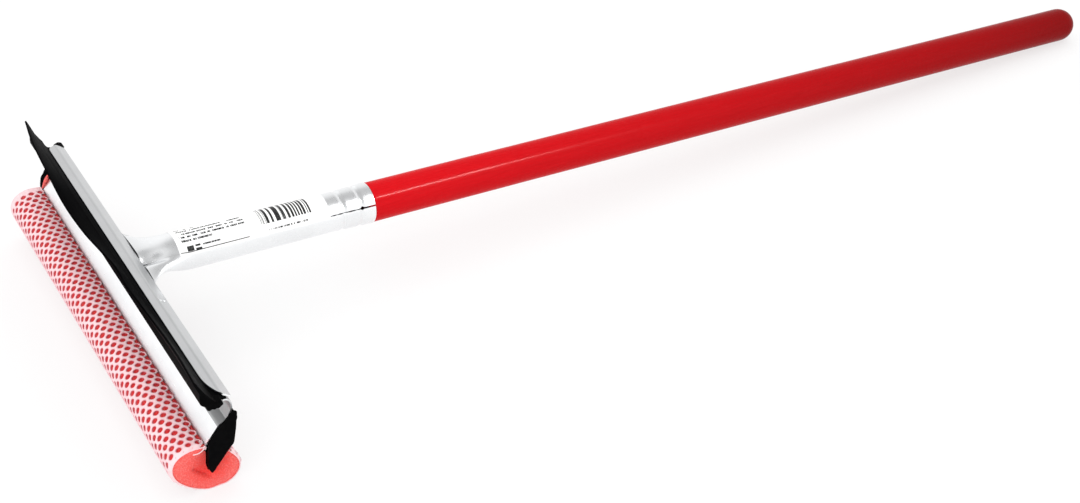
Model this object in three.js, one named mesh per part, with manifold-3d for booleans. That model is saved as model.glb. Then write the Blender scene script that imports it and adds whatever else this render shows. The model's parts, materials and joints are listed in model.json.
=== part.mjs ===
// Window squeegee: a folded sheet-metal head that clamps a rubber blade and a netted sponge, with a
// rolled sheet socket crimped onto a round wooden handle.
// Millimetres. +X runs from the head to the butt of the handle, +Y along the head, +Z up. The part
// lies as it is laid down: on the sponge and on the butt of the handle.

import * as THREE from 'three';
import { mergeVertices } from 'three/addons/utils/BufferGeometryUtils.js';
import Module from 'manifold-3d';

const wasm = await Module();
wasm.setup();

// ---- driving dimensions -------------------------------------------------------------------------

const GAP = 0.3; // clearance left between pieces that touch on the real object
const HEAD_LENGTH = 203; // 8 in
const SHEET = 0.8; // sheet steel of the head and the socket

const HANDLE_R = 9.5; // 3/4 in dowel
const DOME_LENGTH = 9;
const BUTT_FLAT_R = 3;
const SOCKET_LENGTH = 110;
const WOOD_LENGTH = 468; // from the socket's mouth to the butt
const TENON_LENGTH = 62; // wood inside the socket
const SOCKET_HEAD_X = 15.4; // where the socket's fishtail meets the head
const SOCKET_HEAD_Z = 44.8;

const MOUTH_R = 9.8; // socket, outside
const NECK_R = 9.1;
const CRIMP_DEPTH = 0.6;
const CRIMP_HALF_WIDTH = 1.7;
const CRIMPS = [6.6, 15.5]; // from the mouth
const TAPER_END = 20; // from the mouth
const FISHTAIL_LENGTH = 21;
const FISHTAIL_HALF_WIDTH = 20.5;
const FISHTAIL_HALF_HEIGHT = 3.2;
const SEAM_ANGLE = THREE.MathUtils.degToRad(155); // from +Y, on the blade side of the tube
const SEAM_ANGLE_HEAD = THREE.MathUtils.degToRad(103);
const SEAM_HALF_GAP = 0.12;
const NOTCH_HALF_GAP = 1.3;
const VALLEY_DEPTH = 2.9;
const VALLEY_HALF_WIDTH = 4;

const LABEL_START = 22; // from the mouth
const LABEL_LENGTH = 67;
const LABEL_THICKNESS = 0.3;
const LABEL_WRAP = 255; // degrees round the tube, from the seam over the top

const BLADE_PIVOT = new THREE.Vector2(3.9, 49.9);
const BLADE_ANGLE = 120; // degrees from +X, in the XZ plane
const BLADE_LIP = 14.4;
const BLADE_ROOT_R = 1.25;
const BLADE_EDGE_R = 0.8;
const BLADE_PIVOT_ROOM = 0.55; // between the clamped root and the round heel of the lip
const BLADE_LENGTH = 210;
const BLADE_SHIFT = -1; // the blade stands out further at one end of the head
const BLADE_TRIM_X = 9.2;

const CORE_LENGTH = 211;
const CORE_SHIFT = 0.5;

const SPONGE_TILT = THREE.MathUtils.degToRad(-32);
const SPONGE_LONG_R = 16.5; // over the netting
const SPONGE_SHORT_R = 11.75;
const SPONGE_FLAT = 0.4; // how far the sponge is pressed flat where it rests
const SPONGE_LENGTH = 206;
const SPONGE_SHIFT = 1.5;
const NET_LENGTH = 199;
const NET_THICKNESS = 0.5;
const ROUND_STEPS = 48;

// ---- helpers ------------------------------------------------------------------------------------

const group = new THREE.Group();

function addMesh(name, geometry, color, roughness, metalness) {
  const material = new THREE.MeshStandardMaterial({ color, roughness, metalness });
  const mesh = new THREE.Mesh(geometry, material);
  mesh.name = name;
  group.add(mesh);
  return mesh;
}

function toSolid(geometry) {
  const bare = geometry.clone();
  for (const attribute of Object.keys(bare.attributes)) {
    if (attribute !== 'position') bare.deleteAttribute(attribute);
  }
  const merged = mergeVertices(bare, 1e-4);
  return new wasm.Manifold(new wasm.Mesh({
    numProp: 3,
    vertProperties: new Float32Array(merged.attributes.position.array),
    triVerts: new Uint32Array(merged.index.array),
  }));
}

function toGeometry(solid) {
  const mesh = solid.getMesh();
  const geometry = new THREE.BufferGeometry();
  geometry.setAttribute('position', new THREE.BufferAttribute(mesh.vertProperties, 3));
  geometry.setIndex(new THREE.BufferAttribute(mesh.triVerts, 1));
  geometry.computeVertexNormals();
  return geometry;
}

// A section in the XZ plane, run along Y.
function alongHead(outline, length, middle = 0) {
  const shape = new THREE.Shape(outline);
  const geometry = new THREE.ExtrudeGeometry(shape, { depth: length, bevelEnabled: false });
  geometry.rotateX(Math.PI / 2);
  geometry.translate(0, middle + length / 2, 0);
  return geometry;
}

// Shifts each corner of a line of points sideways, to the left of the way it runs.
function shiftLine(points, distance, closed = false) {
  const count = points.length;
  return points.map((point, i) => {
    const before = closed ? points[(i + count - 1) % count] : points[Math.max(i - 1, 0)];
    const after = closed ? points[(i + 1) % count] : points[Math.min(i + 1, count - 1)];
    const into = point.clone().sub(before);
    const out = after.clone().sub(point);
    if (into.lengthSq() === 0) into.copy(out);
    if (out.lengthSq() === 0) out.copy(into);
    const a = new THREE.Vector2(-into.y, into.x).normalize();
    const b = new THREE.Vector2(-out.y, out.x).normalize();
    const side = a.clone().add(b).normalize();
    return point.clone().addScaledVector(side, distance / side.dot(b));
  });
}

// The outline of a bent strip of even thickness around its middle line.
function strip(points, thickness) {
  return [...shiftLine(points, -thickness / 2), ...shiftLine(points, thickness / 2).reverse()];
}

function points2(...pairs) {
  return pairs.map(([x, z]) => new THREE.Vector2(x, z));
}

function arc(centre, radius, from, to, steps) {
  return Array.from({ length: steps + 1 }, (_, i) => {
    const angle = THREE.MathUtils.degToRad(from + ((to - from) * i) / steps);
    return new THREE.Vector2(centre.x + radius * Math.cos(angle), centre.y + radius * Math.sin(angle));
  });
}

// ---- the handle's axis --------------------------------------------------------------------------

const AXIS_LENGTH = WOOD_LENGTH + SOCKET_LENGTH;
const SLOPE = (() => {
  // the underside of the dowel touches the floor where the domed butt begins
  let slope = 0;
  for (let i = 0; i < 8; i += 1) {
    const buttZ = HANDLE_R * Math.cos(slope) - DOME_LENGTH * Math.sin(slope);
    slope = Math.asin((SOCKET_HEAD_Z - buttZ) / AXIS_LENGTH);
  }
  return slope;
})();

// Turns a geometry whose axis is Z (0 at the butt, growing towards the head) onto the handle's axis,
// with its own X across the head and its own Y downwards.
function ontoHandle(geometry) {
  const towardsHead = new THREE.Vector3(-Math.cos(SLOPE), 0, Math.sin(SLOPE));
  const across = new THREE.Vector3(0, 1, 0);
  const down = new THREE.Vector3().crossVectors(towardsHead, across);
  const butt = new THREE.Vector3(SOCKET_HEAD_X, 0, SOCKET_HEAD_Z).addScaledVector(towardsHead, -AXIS_LENGTH);
  const matrix = new THREE.Matrix4().makeBasis(across, down, towardsHead);
  matrix.setPosition(butt);
  geometry.applyMatrix4(matrix);
  return geometry;
}

function crimp(distance) {
  return CRIMPS.reduce((depth, middle) => {
    const offset = Math.abs(distance - middle) / CRIMP_HALF_WIDTH;
    return offset < 1 ? Math.max(depth, CRIMP_DEPTH * Math.cos((offset * Math.PI) / 2) ** 2) : depth;
  }, 0);
}

// The socket's outer radius where it is round, counted from its mouth.
function tubeR(distance) {
  return MOUTH_R + (NECK_R - MOUTH_R) * Math.min(1, distance / TAPER_END) - crimp(distance);
}

// Where the outline of the socket and of the tenon inside it changes.
const CRIMP_STATIONS = CRIMPS.flatMap((middle) => (
  [-1, -0.5, 0, 0.5, 1].map((offset) => middle + offset * CRIMP_HALF_WIDTH)
));

// ---- wooden handle ------------------------------------------------------------------------------

function handle() {
  const domeEnd = HANDLE_R - BUTT_FLAT_R;
  const profile = [new THREE.Vector2(0, 0)];
  const domeSteps = 7;
  for (let i = 0; i <= domeSteps; i += 1) {
    const angle = (i / domeSteps) * (Math.PI / 2);
    profile.push(new THREE.Vector2(
      BUTT_FLAT_R + domeEnd * Math.sin(angle),
      DOME_LENGTH * (1 - Math.cos(angle)),
    ));
  }
  profile.push(new THREE.Vector2(HANDLE_R, WOOD_LENGTH - GAP));
  const room = SHEET + GAP;
  profile.push(new THREE.Vector2(tubeR(0) - room, WOOD_LENGTH - GAP));
  for (const distance of [...CRIMP_STATIONS, TAPER_END, TENON_LENGTH - 1]) {
    profile.push(new THREE.Vector2(tubeR(distance) - room, WOOD_LENGTH + distance));
  }
  profile.push(new THREE.Vector2(NECK_R - room - 1, WOOD_LENGTH + TENON_LENGTH));
  profile.push(new THREE.Vector2(0, WOOD_LENGTH + TENON_LENGTH));
  const geometry = new THREE.LatheGeometry(profile, ROUND_STEPS);
  geometry.rotateX(Math.PI / 2);
  return ontoHandle(geometry);
}

// ---- sheet socket: crimped mouth, round tube and two-lobed fishtail, with an open butt seam -----

function socketSection(distance) {
  const flare = Math.max(0, (distance - (SOCKET_LENGTH - FISHTAIL_LENGTH)) / FISHTAIL_LENGTH);
  const round = tubeR(distance);
  const ease = flare * flare * (3 - 2 * flare);
  const halfWidth = round + (FISHTAIL_HALF_WIDTH - round) * (0.35 * flare + 0.65 * flare ** 4);
  const halfHeight = round + (FISHTAIL_HALF_HEIGHT - round) * ease;
  const seam = SEAM_ANGLE + (SEAM_ANGLE_HEAD - SEAM_ANGLE) * ease;
  const halfGap = SEAM_HALF_GAP + (NOTCH_HALF_GAP - SEAM_HALF_GAP) * flare ** 3;
  const gapAngle = halfGap / Math.hypot(halfWidth * Math.sin(seam), halfHeight * Math.cos(seam));
  const valley = VALLEY_DEPTH * ease;
  const seamAcross = halfWidth * Math.cos(seam);
  const wall = (inset) => Array.from({ length: ROUND_STEPS + 1 }, (_, i) => {
    const angle = seam + gapAngle + ((2 * Math.PI - 2 * gapAngle) * i) / ROUND_STEPS;
    const across = (halfWidth - inset) * Math.cos(angle);
    let up = (halfHeight - inset) * Math.sin(angle);
    const upper = Math.max(0, Math.sin(angle));
    up -= valley * upper * Math.exp(-(((across - seamAcross) / VALLEY_HALF_WIDTH) ** 2));
    return [across, up];
  });
  return [...wall(0), ...wall(SHEET).reverse()];
}

function socket() {
  const stations = [0, ...CRIMP_STATIONS, TAPER_END, SOCKET_LENGTH - FISHTAIL_LENGTH];
  const flareSteps = 9;
  for (let i = 1; i <= flareSteps; i += 1) {
    stations.push(SOCKET_LENGTH - FISHTAIL_LENGTH * (1 - i / flareSteps));
  }
  const sections = stations.map(socketSection);
  const ring = sections[0].length;
  const positions = [];
  stations.forEach((distance, s) => {
    for (const [across, up] of sections[s]) positions.push(across, -up, WOOD_LENGTH + distance);
  });
  const index = [];
  for (let s = 0; s + 1 < stations.length; s += 1) {
    for (let i = 0; i < ring; i += 1) {
      const a = s * ring + i;
      const b = s * ring + ((i + 1) % ring);
      index.push(a, b + ring, b, a, a + ring, b + ring);
    }
  }
  const last = (stations.length - 1) * ring;
  for (let i = 0; i < ROUND_STEPS; i += 1) {
    const outer = [i, i + 1];
    const inner = [ring - 1 - i, ring - 2 - i];
    index.push(outer[0], outer[1], inner[1], outer[0], inner[1], inner[0]);
    index.push(last + outer[0], last + inner[1], last + outer[1]);
    index.push(last + outer[0], last + inner[0], last + inner[1]);
  }
  const geometry = new THREE.BufferGeometry();
  geometry.setAttribute('position', new THREE.Float32BufferAttribute(positions, 3));
  geometry.setIndex(index);
  return ontoHandle(geometry);
}

// ---- paper label wrapped round the tube ---------------------------------------------------------

function label() {
  const from = THREE.MathUtils.radToDeg(SEAM_ANGLE);
  const inner = NECK_R + GAP;
  const centre = new THREE.Vector2(0, 0);
  const steps = Math.round((ROUND_STEPS * LABEL_WRAP) / 360);
  // the socket's own Y points down, so its angles run the other way round
  const outside = arc(centre, inner + LABEL_THICKNESS, -from, LABEL_WRAP - from, steps);
  const inside = arc(centre, inner, -from, LABEL_WRAP - from, steps);
  const shape = new THREE.Shape([...outside, ...inside.reverse()]);
  const geometry = new THREE.ExtrudeGeometry(shape, { depth: LABEL_LENGTH, bevelEnabled: false });
  geometry.translate(0, 0, WOOD_LENGTH + LABEL_START);
  return ontoHandle(geometry);
}

// ---- folded sheet head --------------------------------------------------------------------------

const JAW_LINE = points2([6, 49.7], [9.4, 48.5], [10.2, 48.6], [13.9, 45.7]);
const FOLD_CENTRE = new THREE.Vector2(10.9, 40.6);
const FOLD_HALF_WIDTH = 3.0;
const FOLD_HALF_HEIGHT = 4.3;
function fold(from, to, steps) {
  return arc(new THREE.Vector2(), 1, from, to, steps).map(({ x, y }) => (
    new THREE.Vector2(x * FOLD_HALF_WIDTH, y * FOLD_HALF_HEIGHT).add(FOLD_CENTRE)
  ));
}

const PLATE_LINE = [
  ...points2([0.6, 23.3], [7.6, 32.5], [11.4, 34.2]),
  ...fold(-46, 98, 10),
];

// The plan-view waste outside an elliptical corner of the top jaw, at one end of the head.
function jawCorner(end, across, along) {
  const [frontX, backX] = [JAW_LINE[0].x - 1, JAW_LINE[0].x - 1 + across];
  const y = (distance) => end * (HEAD_LENGTH / 2 - distance);
  const steps = 10;
  const curve = Array.from({ length: steps + 1 }, (_, i) => {
    const angle = (i / steps) * (Math.PI / 2);
    return new THREE.Vector2(backX - across * Math.cos(angle), y(along * (1 - Math.sin(angle))));
  });
  const outline = [...curve, new THREE.Vector2(backX, y(-2)), new THREE.Vector2(frontX - 1, y(-2))];
  outline.push(new THREE.Vector2(frontX - 1, y(along)));
  const depth = 12;
  const geometry = new THREE.ExtrudeGeometry(new THREE.Shape(outline), { depth, bevelEnabled: false });
  geometry.translate(0, 0, JAW_LINE[0].y - depth / 2);
  return toSolid(geometry);
}

function topJaw() {
  const sheet = toSolid(alongHead(strip(JAW_LINE, SHEET), HEAD_LENGTH));
  return toGeometry(sheet.subtract(jawCorner(-1, 8, 14.5)).subtract(jawCorner(1, 6, 7)));
}

function spongePlate() {
  return alongHead(strip(PLATE_LINE, SHEET), HEAD_LENGTH);
}

// ---- rubber blade -------------------------------------------------------------------------------

const BLADE_DIRECTION = new THREE.Vector2(1, 0)
  .rotateAround(new THREE.Vector2(), THREE.MathUtils.degToRad(BLADE_ANGLE));

// A point of the blade's section: along it from the pivot, and out from its middle line.
function onBlade(along, out) {
  const side = new THREE.Vector2(BLADE_DIRECTION.y, -BLADE_DIRECTION.x);
  return BLADE_PIVOT.clone().addScaledVector(BLADE_DIRECTION, along).addScaledVector(side, out);
}

function bladeRoot() {
  const end = -(BLADE_ROOT_R + BLADE_PIVOT_ROOM);
  const clamped = points2(
    [9.4, 47.6], [10, 47.65], [12.2, 46], [12.2, 45.45], [10.9, 45.7], [9.75, 45.65], [9.4, 44.5],
  );
  const ribs = points2([7.2, 44.5], [6.6, 45.4], [5.2, 45.2], [4.6, 46.6], [3.1, 46.3], [2.9, 47.4]);
  const outline = [onBlade(end, -BLADE_ROOT_R), onBlade(end, BLADE_ROOT_R), ...clamped, ...ribs];
  const whole = toSolid(alongHead(outline, BLADE_LENGTH, BLADE_SHIFT));
  // past the head's end that shows the fold, the part between the fold and the jaw is cut away
  const waste = points2([BLADE_TRIM_X, 40], [20, 40], [20, 52], [BLADE_TRIM_X, 52]);
  const wasteLength = 10;
  const trim = toSolid(alongHead(waste, wasteLength, -(HEAD_LENGTH + wasteLength) / 2));
  return toGeometry(whole.subtract(trim));
}

function bladeLip() {
  const heel = arc(BLADE_PIVOT, BLADE_ROOT_R, BLADE_ANGLE + 90, BLADE_ANGLE + 270, 8);
  const outline = [...heel, onBlade(BLADE_LIP, BLADE_EDGE_R), onBlade(BLADE_LIP, -BLADE_EDGE_R)];
  return alongHead(outline, BLADE_LENGTH, BLADE_SHIFT);
}

// ---- sponge, its netting and its rubber core ----------------------------------------------------

const CORE_OUTLINE = points2(
  [2.6, 10.6], [13.2, 22.6], [15, 36.2], [14.9, 37.8], [14, 37.2],
  [12.3, 33.9], [11.6, 33.2], [8, 31.5], [2.6, 24.4], [1.4, 21], [0.8, 15], [1.3, 11.4],
);

function oval(inset) {
  const outline = Array.from({ length: ROUND_STEPS }, (_, i) => {
    const angle = (i / ROUND_STEPS) * 2 * Math.PI;
    const point = new THREE.Vector2(
      (SPONGE_LONG_R - inset) * Math.cos(angle),
      (SPONGE_SHORT_R - inset) * Math.sin(angle),
    );
    return point.rotateAround(new THREE.Vector2(), SPONGE_TILT);
  });
  const low = Math.hypot(SPONGE_LONG_R * Math.sin(SPONGE_TILT), SPONGE_SHORT_R * Math.cos(SPONGE_TILT));
  return outline.map(({ x, y }) => new THREE.Vector2(x, Math.max(y + low - SPONGE_FLAT, inset)));
}

// The room in the sponge for the plate's lower edge, and all that lies behind the plate.
const THROAT = points2([-0.1, 23.6], [6.7, 32.8], [18, 32.8], [18, 22.6], [0.4, 22.6]);

// The sponge's outline as a solid, less the room that the core and the plate need inside it.
function spongeSolid(inset, length, shift) {
  const roll = toSolid(alongHead(oval(inset), length, shift));
  const core = toSolid(alongHead(shiftLine(CORE_OUTLINE, -GAP, true), CORE_LENGTH + 20));
  const throat = toSolid(alongHead(THROAT, CORE_LENGTH + 20));
  return roll.subtract(core).subtract(throat);
}

function sponge() {
  return toGeometry(spongeSolid(NET_THICKNESS + GAP, SPONGE_LENGTH, SPONGE_SHIFT));
}

function netting() {
  const hollow = toSolid(alongHead(oval(NET_THICKNESS), SPONGE_LENGTH));
  return toGeometry(spongeSolid(0, NET_LENGTH, 0).subtract(hollow));
}

function core() {
  return alongHead(CORE_OUTLINE, CORE_LENGTH, CORE_SHIFT);
}

// ---- the assembly -------------------------------------------------------------------------------

addMesh('handle', handle(), 0xa8181c, 0.3, 0);
addMesh('socket', socket(), 0xd8dadb, 0.3, 1);
addMesh('label', label(), 0xf4f4f2, 0.6, 0);
addMesh('top_jaw', topJaw(), 0xd0d2d3, 0.32, 1);
addMesh('sponge_plate', spongePlate(), 0xe2e3e3, 0.3, 1);
addMesh('blade_root', bladeRoot(), 0x0c0c0d, 0.6, 0);
addMesh('blade_lip', bladeLip(), 0x101011, 0.55, 0);
addMesh('sponge', sponge(), 0xe2483f, 0.95, 0);
addMesh('netting', netting(), 0xf3c9cb, 0.8, 0);
addMesh('sponge_core', core(), 0x060606, 0.7, 0);

// The origin is the middle of the bounding box's bottom.
const bounds = new THREE.Box3().setFromObject(group);
const middle = bounds.getCenter(new THREE.Vector3());
group.position.set(-middle.x, -middle.y, -bounds.min.z);

export default group;
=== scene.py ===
"""A window squeegee: a folded sheet head with a wavy rubber blade and a netted sponge, a rolled sheet
socket crimped on a red lacquered handle, and a paper label round the socket.

Lengths are millimetres until head() or on_handle() turns them into the row frame's metres. The head
frame has its origin under the sponge's axis: +X towards the butt, +Y along the head, +Z up."""

import json
from math import asin, atan2, cos, exp, hypot, pi, radians, sin, sqrt

import bpy
import numpy as np
from mathutils import Matrix, Vector, noise


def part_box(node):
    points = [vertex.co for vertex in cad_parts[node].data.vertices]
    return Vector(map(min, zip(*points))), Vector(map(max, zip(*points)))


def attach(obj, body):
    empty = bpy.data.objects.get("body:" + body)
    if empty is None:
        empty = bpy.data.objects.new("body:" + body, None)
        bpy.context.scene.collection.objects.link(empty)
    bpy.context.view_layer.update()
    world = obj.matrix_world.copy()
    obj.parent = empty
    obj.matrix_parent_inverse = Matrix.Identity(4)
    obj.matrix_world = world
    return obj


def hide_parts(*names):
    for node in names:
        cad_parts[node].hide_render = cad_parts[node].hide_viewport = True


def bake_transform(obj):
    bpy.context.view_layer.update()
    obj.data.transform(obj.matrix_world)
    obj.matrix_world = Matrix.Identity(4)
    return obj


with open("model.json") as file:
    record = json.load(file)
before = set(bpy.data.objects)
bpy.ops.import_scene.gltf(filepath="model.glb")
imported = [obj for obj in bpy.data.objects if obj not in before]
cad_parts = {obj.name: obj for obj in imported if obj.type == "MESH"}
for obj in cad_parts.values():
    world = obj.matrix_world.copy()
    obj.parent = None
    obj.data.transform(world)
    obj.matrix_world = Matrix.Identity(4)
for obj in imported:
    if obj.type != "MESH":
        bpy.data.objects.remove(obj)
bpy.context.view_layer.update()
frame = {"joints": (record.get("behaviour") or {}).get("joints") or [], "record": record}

MM = 0.001
record = frame["record"]
mounts = {mount["name"]: mount for mount in record["mounts"]}


# ---- frames ----

sponge_low, sponge_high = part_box("sponge")
ROLL_X = (sponge_low.x + sponge_high.x) / 2
PIVOT_M = Vector(frame["joints"][0]["pos_m"])
BUTT = Vector(mounts["butt_face"]["pos_m"])
TO_HEAD = -Vector(mounts["butt_face"]["axis"])
HANDLE_UP = Vector((0, 1, 0)).cross(TO_HEAD)
WOOD_LENGTH = 468  # from the butt to the socket's mouth
MOUTH = BUTT + TO_HEAD * (WOOD_LENGTH * MM)
HEAD_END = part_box("top_jaw")[1].y / MM  # the sheet head ends at plus and minus this
SHEET = 0.8


def head(x, y, z):
    """A point of the head frame."""
    return Vector((ROLL_X + x * MM, y * MM, z * MM))


def on_handle(distance, across, up):
    """A point counted from the socket's mouth towards the head, across the head and up."""
    return MOUTH + TO_HEAD * (distance * MM) + Vector((0, across * MM, 0)) + HANDLE_UP * (up * MM)


PIVOT = ((PIVOT_M.x - ROLL_X) / MM, PIVOT_M.z / MM)


# ---- outlines ----

def arc(centre, radius, start, end, steps):
    """Points of an arc, with its angles in degrees."""
    angles = [radians(start + (end - start) * i / steps) for i in range(steps + 1)]
    return [(centre[0] + radius * cos(a), centre[1] + radius * sin(a)) for a in angles]


def rounded(points, radius, steps=4, closed=False):
    """The line of points with each corner replaced by a curve that starts radius before it."""
    count = len(points)
    result = []
    for i, point in enumerate(points):
        if not closed and i in (0, count - 1):
            result.append(point)
            continue
        here = Vector(point)
        before, after = Vector(points[i - 1]) - here, Vector(points[(i + 1) % count]) - here
        a = here + before.normalized() * min(radius, before.length * 0.45)
        b = here + after.normalized() * min(radius, after.length * 0.45)
        for k in range(steps + 1):
            t = k / steps
            result.append(tuple(a * (1 - t) ** 2 + here * (2 * t * (1 - t)) + b * t ** 2))
    return result


def resample(points, count):
    """The same open line with count points at even steps."""
    p = np.array(points, float)
    s = np.concatenate([[0], np.cumsum(np.linalg.norm(np.diff(p, axis=0), axis=1))])
    t = np.linspace(0, s[-1], count)
    return [tuple(np.interp(v, s, p[:, k]) for k in range(p.shape[1])) for v in t]


def cut_before(points, x_cut):
    """The part of an open line that lies beyond x_cut. The line's x grows from its first point."""
    kept = [p for p in points if p[0] > x_cut + 1e-6]
    if len(kept) == len(points):
        return list(points)
    before = points[len(points) - len(kept) - 1]
    after = kept[0]
    t = (x_cut - before[0]) / (after[0] - before[0])
    return [(x_cut, before[1] + (after[1] - before[1]) * t)] + kept


def offset(points, distance):
    """The open line of points moved sideways, to the left of the way it runs."""
    p = np.array(points, float)
    along = np.gradient(p, axis=0)
    along /= np.linalg.norm(along, axis=1)[:, None]
    return [tuple(v) for v in p + distance * np.stack([-along[:, 1], along[:, 0]], axis=1)]


def strip(points, thickness):
    """The closed outline of a bent strip round its middle line."""
    return offset(points, -thickness / 2) + offset(points, thickness / 2)[::-1]


def smooth(t):
    t = min(max(t, 0.0), 1.0)
    return t * t * (3 - 2 * t)


def curve_at(points, x):
    """A smooth curve through (x, value) points: a Catmull-Rom spline."""
    x = min(max(x, points[0][0]), points[-1][0])
    k = max(i for i in range(len(points) - 1) if points[i][0] <= x)
    (x1, v1), (x2, v2) = points[k], points[k + 1]
    x0, v0 = points[max(k - 1, 0)]
    x3, v3 = points[min(k + 2, len(points) - 1)]
    span = x2 - x1
    m1 = (v2 - v0) / (x2 - x0) * span
    m2 = (v3 - v1) / (x3 - x1) * span
    t = (x - x1) / span
    return (
        v1 * (2 * t ** 3 - 3 * t ** 2 + 1) + m1 * (t ** 3 - 2 * t ** 2 + t)
        + v2 * (3 * t ** 2 - 2 * t ** 3) + m2 * (t ** 3 - t ** 2)
    )


def stations(start, end, step):
    """Places from start to end, at even steps of about this size."""
    count = max(1, round(abs(end - start) / step))
    return [start + (end - start) * i / count for i in range(count + 1)]


def stretches(*marks):
    """Places from mark to mark, with the size of the steps given between each two marks."""
    places = [marks[0]]
    for start, step, end in zip(marks[::2], marks[1::2], marks[2::2]):
        places += stations(start, end, step)[1:]
    return places


# ---- meshes ----

def add_object(name, data):
    made = bpy.data.objects.new(name, data)
    bpy.context.scene.collection.objects.link(made)
    return made


def new_mesh(name, points, faces, materials, sharp=35):
    """A closed mesh of points in metres. It faces outwards, and is smooth except at edges sharper than
    so many degrees."""
    mesh = bpy.data.meshes.new(name)
    mesh.from_pydata([tuple(p) for p in points], [], faces)
    for material in materials:
        mesh.materials.append(material)
    mesh.validate()
    mesh.update()
    mesh.shade_smooth()
    mesh.set_sharp_from_angle(angle=radians(sharp))
    mesh.calc_loop_triangles()
    spots = np.zeros(len(mesh.vertices) * 3)
    mesh.vertices.foreach_get("co", spots)
    corners = np.zeros(len(mesh.loop_triangles) * 3, np.int32)
    mesh.loop_triangles.foreach_get("vertices", corners)
    a, b, c = (spots.reshape(-1, 3)[corners.reshape(-1, 3)[:, k]] for k in range(3))
    if np.sum(a * np.cross(b, c)) < 0:
        mesh.flip_normals()
    return add_object(name, mesh)


def loft(rings, caps=True):
    """Points and faces of a closed tube through rings of points, with flat caps on its ends."""
    size = len(rings[0])
    points = [p for ring in rings for p in ring]
    faces = []
    for r in range(len(rings) - 1):
        for i in range(size):
            a, b = r * size + i, r * size + (i + 1) % size
            faces.append((a, b, b + size, a + size))
    if caps:
        last = (len(rings) - 1) * size
        faces.append(tuple(reversed(range(size))))
        faces.append(tuple(range(last, last + size)))
    return points, faces


BEVEL_ANGLE = radians(50)


def bevel(piece, width, segments=2):
    """Rounds the piece's sharp edges, over a width in millimetres."""
    modifier = piece.modifiers.new("edges", "BEVEL")
    modifier.width = width * MM
    modifier.segments = segments
    modifier.limit_method = "ANGLE"
    modifier.angle_limit = BEVEL_ANGLE
    modifier.harden_normals = True


def add_piece(name, shape, materials, slot, nodes=(), edge=0, segments=2, **mesh_settings):
    """A closed mesh fixed to the body, with what it is made of and which nodes it stands for."""
    piece = new_mesh(name, *shape, materials, **mesh_settings)
    if edge:
        bevel(piece, edge, segments)
    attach(piece, "body")
    if nodes:
        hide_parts(*nodes)
    return piece


def add_web(piece, values):
    """Gives each point of a net piece its place across the thread, from 0 at a hole's rim to 1."""
    piece.data.attributes.new("web", "FLOAT", "POINT").data.foreach_set("value", values)


def wobble(x, y, z, scale, seed):
    """Smooth noise from -1 to 1, with its lumps about scale millimetres across."""
    return noise.noise(Vector((x / scale + seed * 17.3, y / scale - seed * 5.1, z / scale + seed)))


# ---- materials ----

class Nodes:
    """A node tree, with short calls for the nodes that the materials and the studio's walls use."""

    def __init__(self, owner):
        owner.use_nodes = True
        self.tree = owner.node_tree

    def node(self, kind, inputs=(), **settings):
        """A new node, with its inputs given by name or number."""
        made = self.tree.nodes.new("ShaderNode" + kind)
        for key, value in settings.items():
            setattr(made, key, value)
        for key, value in dict(inputs).items():
            self.feed(made.inputs[key], value)
        return made

    def feed(self, socket, value):
        """Sets a socket to a number, a colour or a vector, or links an output to it."""
        if isinstance(value, (int, float)):
            socket.default_value = value
        elif isinstance(value, tuple):
            socket.default_value = (*value, 1) if len(socket.default_value) == 4 else value
        elif value is not None:
            self.tree.links.new(value, socket)

    def axis(self, vector, name):
        return self.node("SeparateXYZ", {0: vector}).outputs[name]

    def place(self, scale=(1, 1, 1), rotation=(0, 0, 0)):
        """Coordinates in millimetres, scaled and turned."""
        inputs = {"Vector": self.node("TexCoord").outputs["Object"], "Rotation": rotation,
                  "Scale": tuple(s / MM for s in scale)}
        return self.node("Mapping", inputs).outputs["Vector"]

    def noise(self, vector, scale, detail=3.0, rough=0.55):
        inputs = {"Vector": vector, "Scale": scale, "Detail": detail, "Roughness": rough}
        return self.node("TexNoise", inputs).outputs["Fac"]

    def voronoi(self, vector, scale):
        return self.node("TexVoronoi", {"Vector": vector, "Scale": scale}).outputs["Distance"]

    def ramp(self, value, stops):
        """Numbers or colours at positions from 0 to 1."""
        made = self.node("ValToRGB", {"Fac": value})
        elements = made.color_ramp.elements
        while len(elements) < len(stops):
            elements.new(0.5)
        for element, (position, colour) in zip(elements, stops):
            element.position = position
            shade = colour if isinstance(colour, tuple) else (colour, colour, colour)
            element.color = (*shade, 1)
        return made.outputs["Color"]

    def math(self, operation, *values):
        return self.node("Math", dict(enumerate(values)), operation=operation).outputs[0]

    def times(self, *values):
        return self.math("MULTIPLY", *values)

    def mix(self, share, a, b, blend="MIX"):
        made = self.node("Mix", data_type="RGBA", blend_type=blend)
        for number, value in ((0, share), (6, a), (7, b)):
            self.feed(made.inputs[number], value)
        return made.outputs[2]

    def bump(self, height, distance, strength=1.0, after=None):
        inputs = {"Height": height, "Distance": distance * MM, "Strength": strength, "Normal": after}
        return self.node("Bump", inputs).outputs["Normal"]


class Shader(Nodes):
    """A material with a Principled shader."""

    def __init__(self, name):
        self.material = bpy.data.materials.new(name)
        super().__init__(self.material)
        self.bsdf = self.tree.nodes["Principled BSDF"]

    def set(self, **values):
        for key, value in values.items():
            self.feed(self.bsdf.inputs[key.replace("_", " ")], value)
        return self.material


LACQUER_LENGTH = 480.0  # the wood's length, with the part inside the socket that can be seen
INTO_SOCKET = (0.976, 0.978)  # shares of that length, between which painted shade darkens the wood inside the socket
RUBBER_HALF_LENGTH = 106.0
FOAM_SPAN = 200.0  # what a share of 1 means where the foam pales towards its cut ends
FOLD_SHADE_MIDDLE, FOLD_SHADE_REACH = (2.0, -HEAD_END, 13.0), 20.0  # where the painted shade in the foam's cut end, a deeper red, is strongest, and how far it reaches
PAPER_UNIT = 100.0  # millimetres to one unit of the label's UV map


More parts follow.
